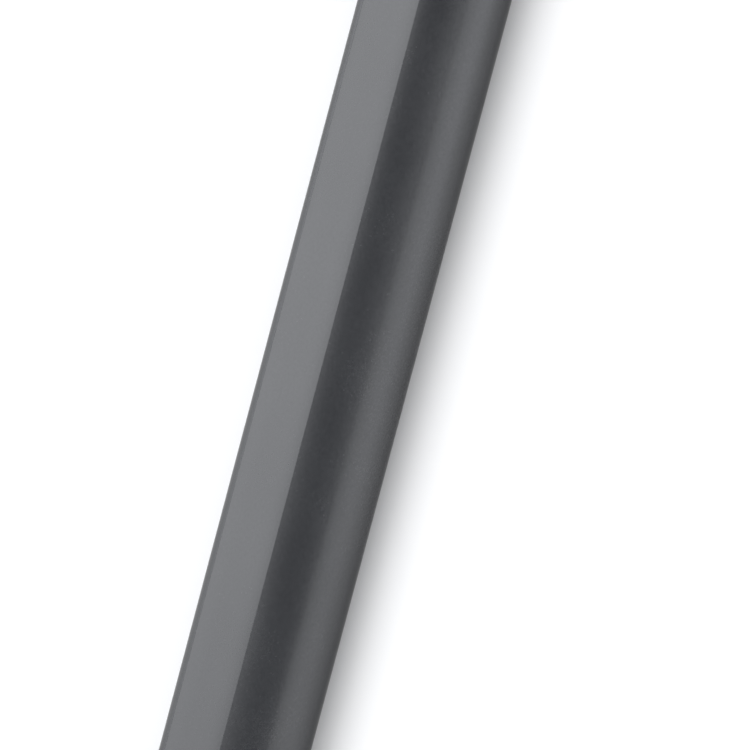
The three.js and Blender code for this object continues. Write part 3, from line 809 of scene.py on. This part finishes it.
lathe_up(
    LIGHT_S,
    [(0, 2.15), (0.40, 2.15), (0.45, 2.2), (0.45, 3.08), (0.80, 3.08), (0.85, 3.13), (0.85, 3.45), (0.80, 3.5), (0.45, 3.5),
     (0.45, FLAT - 0.09), (0.43, FLAT - 0.06), (0.38, FLAT - 0.045), (0.25, FLAT - 0.035), (0, FLAT - 0.03)],
).build("light_window", 40, clear_mat.m, "pen", "clear_plastic", ("light_pipe",))

# ------------------------------------------------------------------ tail cap
cap = closed_profile(
    [
        (121.6, 3.3, 0.08), (121.6, 4.12, 0.3), (125.9, 4.12, 0.05), (125.9, 3.62, 0.08), (127.1, 3.62, 0.08), (127.1, 4.12, 0.05),
        (137.9, 4.12, 0.1), (137.9, 3.55, 0.06), (129.6, 3.55, 0.1), (129.6, 1.0, 0.05), (125.3, 1.0, 0.05), (125.3, 3.3, 0.15),
    ],
    4,
)
lathe(cap, 112, BORE_DZ, True).build("cap_plug_turned", 35, frame_mat.m, "cap", "frame_plastic", ("cap_plug",))

ring = [(126.5 + 0.26 * math.cos(2 * math.pi * i / 20), 3.92 + 0.26 * math.sin(2 * math.pi * i / 20)) for i in range(20)]
lathe(ring, 112, BORE_DZ, True).build("seal_ring_round", 60, rubber_mat.m, "cap", "black_rubber", ("seal_ring",))

helix(121.4, 124.7, 1.5, 2.7, 0.42, 4, BORE_DZ).build("negative_spring_wire", 60, steel_mat.m, "cap", "spring_steel", ("negative_spring",))
# these two are squeezed in use; here they are built without a body
tail_spring = helix(130.9, 135.1, 2.75, 2.75, 0.34, 4, BORE_DZ).build("tail_spring_wire", 60, steel_mat.m, None, "spring_steel", ("tail_spring",))
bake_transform(tail_spring)
nib_spring = helix(20.15, 22.95, 1.35, 1.35, 0.28, 5).build("nib_spring_wire", 60, steel_mat.m, None, "spring_steel", ("nib_spring",))
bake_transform(nib_spring)

lathe(rounded([(124.78, 0), (124.78, 3.15, 0.08), (125.2, 3.15, 0.08), (125.2, 0)], 4), 72, BORE_DZ).build(
    "spring_plate_disc", 35, brass_mat.m, "cap", "contact_brass", ("spring_plate",)
)

# the bright ring round the eraser's neck
tail = Shell()
D_OFF = 0.06


def ring_at(s, drawn):
    return (s, d_ring(R - D_OFF - drawn, FLAT - D_OFF - drawn))


def round_at(s, r):
    return (s, [(y, z + BORE_DZ) for y, z in d_ring(r, 99.0)])


rings(
    tail,
    [
        round_at(140.1, 4.1), round_at(141.19, 4.1), ring_at(141.19, 0.06), ring_at(141.208, 0.018), ring_at(141.25, 0.0),
        ring_at(141.37, 0.0), ring_at(141.40, 0.010), ring_at(141.43, 0.035), ring_at(141.45, 0.08),
        round_at(141.45, 2.88), round_at(141.42, 2.81), round_at(141.36, 2.8), round_at(141.19, 2.8), round_at(141.19, 3.4),
        round_at(140.0, 3.4), round_at(140.0, 4.0),
    ],
    closed=True,
)
tail.build("tail_ring_turned", 30, trim_mat.m, "cap", "trim_metal", ("tail_ring",))

# the eraser button, with its foot, flange, neck and domed head
eraser = Shell()
st = [(133.05, None, BORE_DZ)]
for s, r in rounded(
    [(133.05, 0), (133.05, 0.9, 0.15), (135.2, 0.9, 0.1), (135.2, 3.3, 0.12), (136.6, 3.3, 0.12), (136.6, 2.55, 0.1), (142.1, 2.55)], 4
)[1:]:
    st.append(round_at(s, r))
HEAD_R = 4.82
for i in range(6):
    a = math.pi / 2 * i / 5
    drawn = 0.22 * (1 - math.sin(a))
    st.append((142.1 + 0.22 * (1 - math.cos(a)), d_ring(HEAD_R - drawn, FLAT - drawn)))
for i in range(0, 26):
    t = i / 25 * math.pi / 2
    x = math.sin(t) ** (2 / 2.7)
    r = max(0.0, 1 - x ** 2.7) ** (1 / 2.7) * HEAD_R
    s = 143.9 + 2.1 * x
    if i == 25:
        st.append((146.0, None, 0.0))
    else:
        st.append((s, d_ring(r, FLAT, 0.16)))
rings(eraser, st)
eraser.build("eraser_cap", 35, eraser_mat.m, "eraser", "eraser_plastic", ("eraser_button",))

# ------------------------------------------------------------------ the cell
can_shell = Shell()
outer = rounded([(80.4, 3.35), (80.0, 3.35, 0.06), (80.0, 3.76, 0.15), (80.32, 4.1, 0.2), (120.9, 4.1, 0.2), (121.3, 3.7, 0.15), (121.3, 3.3, 0.08), (121.22, 3.2, 0.08), (121.22, 0.0)], 5)
inner = [(121.0, 0.0), (121.0, 3.85), (80.4, 3.85)]
rings(can_shell, [(s, None, BORE_DZ) if r < 1e-6 else (s, circle(r, 112, BORE_DZ)) for s, r in outer])
rings(can_shell, [(s, None, BORE_DZ) if r < 1e-6 else (s, circle(r, 112, BORE_DZ)) for s, r in inner + [(80.4, 3.35)]])
can_ob = can_shell.build("cell_can_wrapped", 35, wrap_mat.m, "cell", "cell_metal", ("cell_can",))
# the film stops short of both ends, so bare steel shows there
can_ob.data.materials.append(cell_steel_mat.m)
low, high = at(80.75, 0, 0)[0], at(120.7, 0, 0)[0]
for p in can_ob.data.polygons:
    xs = [can_ob.data.vertices[i].co.x for i in p.vertices]
    if max(xs) < low or min(xs) > high:
        p.material_index = 1

lathe(rounded([(79.3, 0), (79.3, 0.95, 0.2), (80.05, 1.1, 0.08), (80.05, 2.0, 0.1), (80.35, 2.0, 0.05), (80.35, 0)], 5), 72, BORE_DZ).build(
    "cell_nub", 35, cell_steel_mat.m, "cell", "spring_steel", ("cell_top",)
)

# ------------------------------------------------------------------ finish of the other solids
FINISH = {
    "tilt_electrode": brass_mat, "nib_holder": frame_mat, "spring_seat": steel_mat, "sensor_housing": frame_mat,
    "pressure_pad": rubber_mat, "pressure_sensor": ceramic_mat, "sensor_backplate": frame_mat, "sensor_flex": amber_mat,
    "button_pin": steel_mat, "button_bracket": chassis_mat, "magnet_front": magnet_mat, "magnet_rear": magnet_mat,
    "magnet_carrier": frame_mat, "chassis": chassis_mat, "main_board": board_mat, "board_screw_front": steel_mat,
    "board_screw_rear": steel_mat, "front_switch": chip_mat, "rear_switch": chip_mat, "flex_connector": nose_mat,
    "status_led": ceramic_mat, "controller_chip": chip_mat, "radio_chip": chip_mat, "crystal": magnet_mat,
    "power_coil": ceramic_mat, "contact_block": frame_mat, "positive_contact": brass_mat, "cell_seal": rubber_mat,
    "cell_core": paste_mat, "contact_pin": brass_mat, "tail_board": board_mat, "tail_switch": chip_mat,
    "button_retainer": frame_mat,
}
for node, look in FINISH.items():
    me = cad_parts[node].data
    me.materials.clear()
    me.materials.append(look.m)


# ------------------------------------------------------------------ stage, light and camera
def look_floor():
    """Pale, with painted light and shade. Clear of the pen's shadow an emission glow paints it
    brighter on the far side, and a little brighter in front of the pen towards the tail.
    Further out in front painted shade darkens it slightly towards the nib."""
    L = Look("pale_floor", (0.80, 0.80, 0.80), 1.0, 0.0)
    L.b.inputs["Specular IOR Level"].default_value = 0.0
    # the floor's emission is painted light: it glows though it is no lamp
    L.b.inputs["Emission Color"].default_value = (0.985, 1.0, 1.05, 1)
    sep = L.nt.nodes.new("ShaderNodeSeparateXYZ")
    L.link(L.co.outputs["Object"], sep.inputs["Vector"])
    x, y = sep.outputs["X"], sep.outputs["Y"]
    tailward = L.span(x, 0.0, 1.0, -0.022, 0.037)
    far = L.span(y, 0.0, 1.0, 0.024, 0.060)
    near = L.math("MULTIPLY", L.span(y, 1.0, 0.0, -0.0110, -0.0072), L.span(y, 0.0, 1.0, -0.040, -0.014))
    front = L.span(y, 1.0, 0.0, -0.050, -0.012)
    # painted shade: in front of the pen the floor's colour is darkened towards the nib
    painted_shade = L.math("MULTIPLY", front, L.math("MULTIPLY", L.math("SUBTRACT", 1.0, tailward), 0.16))
    shade = L.nt.nodes.new("ShaderNodeCombineColor")
    for c in ("Red", "Green", "Blue"):
        L.link(L.math("MULTIPLY", L.math("SUBTRACT", 1.0, painted_shade), 0.80), shade.inputs[c])
    L.link(shade.outputs["Color"], L.b.inputs["Base Color"])
    # painted light: an emission glow on the far side, and in front of the pen towards the tail
    painted_glow = L.math(
        "ADD",
        L.math("MULTIPLY", far, L.math("ADD", L.math("MULTIPLY", tailward, 0.60), 1.00)),
        L.math("MULTIPLY", near, L.math("MULTIPLY", tailward, 0.34)),
    )
    L.link(painted_glow, L.b.inputs["Emission Strength"])
    return L


me = bpy.data.meshes.new("floor")
F = 40.0
me.from_pydata([(-F, -F, 0), (F, -F, 0), (F, F, 0), (-F, F, 0)], [], [(0, 1, 2, 3)])
floor = bpy.data.objects.new("floor", me)
bpy.context.scene.collection.objects.link(floor)
me.materials.append(look_floor().m)
floor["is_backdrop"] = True

class Dome:
    """The studio: an even dome with a few large soft panels on it. A panel's middle is psi
    degrees from the zenith towards the camera's side and chi towards the tail; high and
    wide are half its size along psi and chi, soft is half the width of its edge."""

    def __init__(self, name, radiance, colour):
        w = bpy.data.worlds.new(name)
        bpy.context.scene.world = w
        w.use_nodes = True
        self.nt = w.node_tree
        self.back = self.nt.nodes["Background"]
        co = self.nt.nodes.new("ShaderNodeTexCoord")
        sep = self.nt.nodes.new("ShaderNodeSeparateXYZ")
        self.nt.links.new(co.outputs["Generated"], sep.inputs["Vector"])
        self.psi = self.math("ARCTAN2", self.math("MULTIPLY", sep.outputs["Y"], -1.0), sep.outputs["Z"])
        self.chi = self.math("ARCSINE", sep.outputs["X"])
        self.total = None
        self.base = tuple(radiance * c for c in colour)

    def math(self, op, *args):
        n = self.nt.nodes.new("ShaderNodeMath")
        n.operation = op
        for i, v in enumerate(args):
            if isinstance(v, (int, float)):
                n.inputs[i].default_value = v
            else:
                self.nt.links.new(v, n.inputs[i])
        return n.outputs["Value"]

    def across(self, u, half, soft):
        """1 within half of the middle, 0 beyond, over a soft edge."""
        n = self.nt.nodes.new("ShaderNodeMapRange")
        n.interpolation_type = "SMOOTHSTEP"
        n.inputs["From Min"].default_value = math.radians(half + soft)
        n.inputs["From Max"].default_value = math.radians(half - soft)
        self.nt.links.new(self.math("ABSOLUTE", u), n.inputs["Value"])
        return n.outputs["Result"]

    def panel(self, psi, chi, high, wide, soft, turn, radiance, colour=(1.0, 1.0, 1.0)):
        c, s = math.cos(math.radians(turn)), math.sin(math.radians(turn))
        dp = self.math("SUBTRACT", self.psi, math.radians(psi))
        dc = self.math("SUBTRACT", self.chi, math.radians(chi))
        u = self.math("ADD", self.math("MULTIPLY", dp, c), self.math("MULTIPLY", dc, s))
        v = self.math("SUBTRACT", self.math("MULTIPLY", dc, c), self.math("MULTIPLY", dp, s))
        f = self.math("MULTIPLY", self.across(u, high, soft), self.across(v, wide, soft))
        n = self.nt.nodes.new("ShaderNodeVectorMath")
        n.operation = "SCALE"
        n.inputs["Vector"].default_value = tuple(radiance * k for k in colour)
        self.nt.links.new(f, n.inputs["Scale"])
        m = self.nt.nodes.new("ShaderNodeVectorMath")
        m.operation = "ADD"
        self.nt.links.new(n.outputs["Vector"], m.inputs[0])
        if self.total is None:
            m.inputs[1].default_value = self.base
        else:
            self.nt.links.new(self.total, m.inputs[1])
        self.total = m.outputs["Vector"]

    def finish(self, seen):
        """The dome lights the pen and the floor; looked at directly it is plain and pale."""
        path = self.nt.nodes.new("ShaderNodeLightPath")
        mix = self.nt.nodes.new("ShaderNodeMix")
        mix.data_type = "VECTOR"
        self.nt.links.new(path.outputs["Is Camera Ray"], mix.inputs["Factor"])
        a, b = [i for i in mix.inputs if i.type == "VECTOR" and i.name in ("A", "B")]
        self.nt.links.new(self.total, a)
        b.default_value = seen
        out = [o for o in mix.outputs if o.type == "VECTOR"][0]
        self.nt.links.new(out, self.back.inputs["Color"])
        self.back.inputs["Strength"].default_value = 1.0


dome = Dome("studio", 0.330, (0.96, 1.0, 1.09))
dome.panel(-42.2, -4.8, 10.7, 9.0, 4.0, 13.0, 2.66)
dome.panel(-6.7, 30.0, 24.6, 35.3, 6.1, 2.4, 1.08)
dome.panel(37.9, -65.4, 59.4, 41.6, 17.9, -25.0, 0.85)
dome.panel(43.2, 63.4, 56.3, 46.5, 8.9, -18.0, 3.63)
dome.panel(-92.0, -10.0, 12.6, 30.0, 5.0, -1.0, 1.48)
dome.panel(90.0, 5.0, 8.0, 12.0, 10.0, 0.0, 0.46)
dome.panel(-58.0, -62.0, 30.0, 30.0, 14.0, 0.0, 0.5)
dome.panel(-58.0, 62.0, 30.0, 30.0, 14.0, 0.0, 0.5)
dome.finish((1.02, 1.02, 1.02))

tau, beta, phi = (math.radians(v) for v in (7.218, 14.960, 38.85))
D, FOCUS, OFF = 500.0, 7643.0, 2.5412
c = Vector((math.sin(tau), -math.cos(tau) * math.sin(phi), math.cos(tau) * math.cos(phi)))
X = Vector((1, 0, 0))
x = (X - X.dot(c) * c).normalized()
n = x.cross(c)
r = math.cos(beta) * n + math.sin(beta) * x
u = -math.sin(beta) * n + math.cos(beta) * x
cam = bpy.data.cameras.new("camera")
cam_ob = bpy.data.objects.new("camera", cam)
bpy.context.scene.collection.objects.link(cam_ob)
m = Matrix((r, u, c)).transposed().to_4x4()
m.translation = (Vector((12.0, 0, LIFT)) + OFF * n + D * c) * MM
cam_ob.matrix_world = m
cam.sensor_width = 36
cam.lens = FOCUS * 36 / 750
cam.clip_start, cam.clip_end = 0.01, 100
bpy.context.scene.camera = cam_ob
bpy.context.scene.view_settings.view_transform = "Standard"
bpy.context.scene.view_settings.look = "None"

low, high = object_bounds()
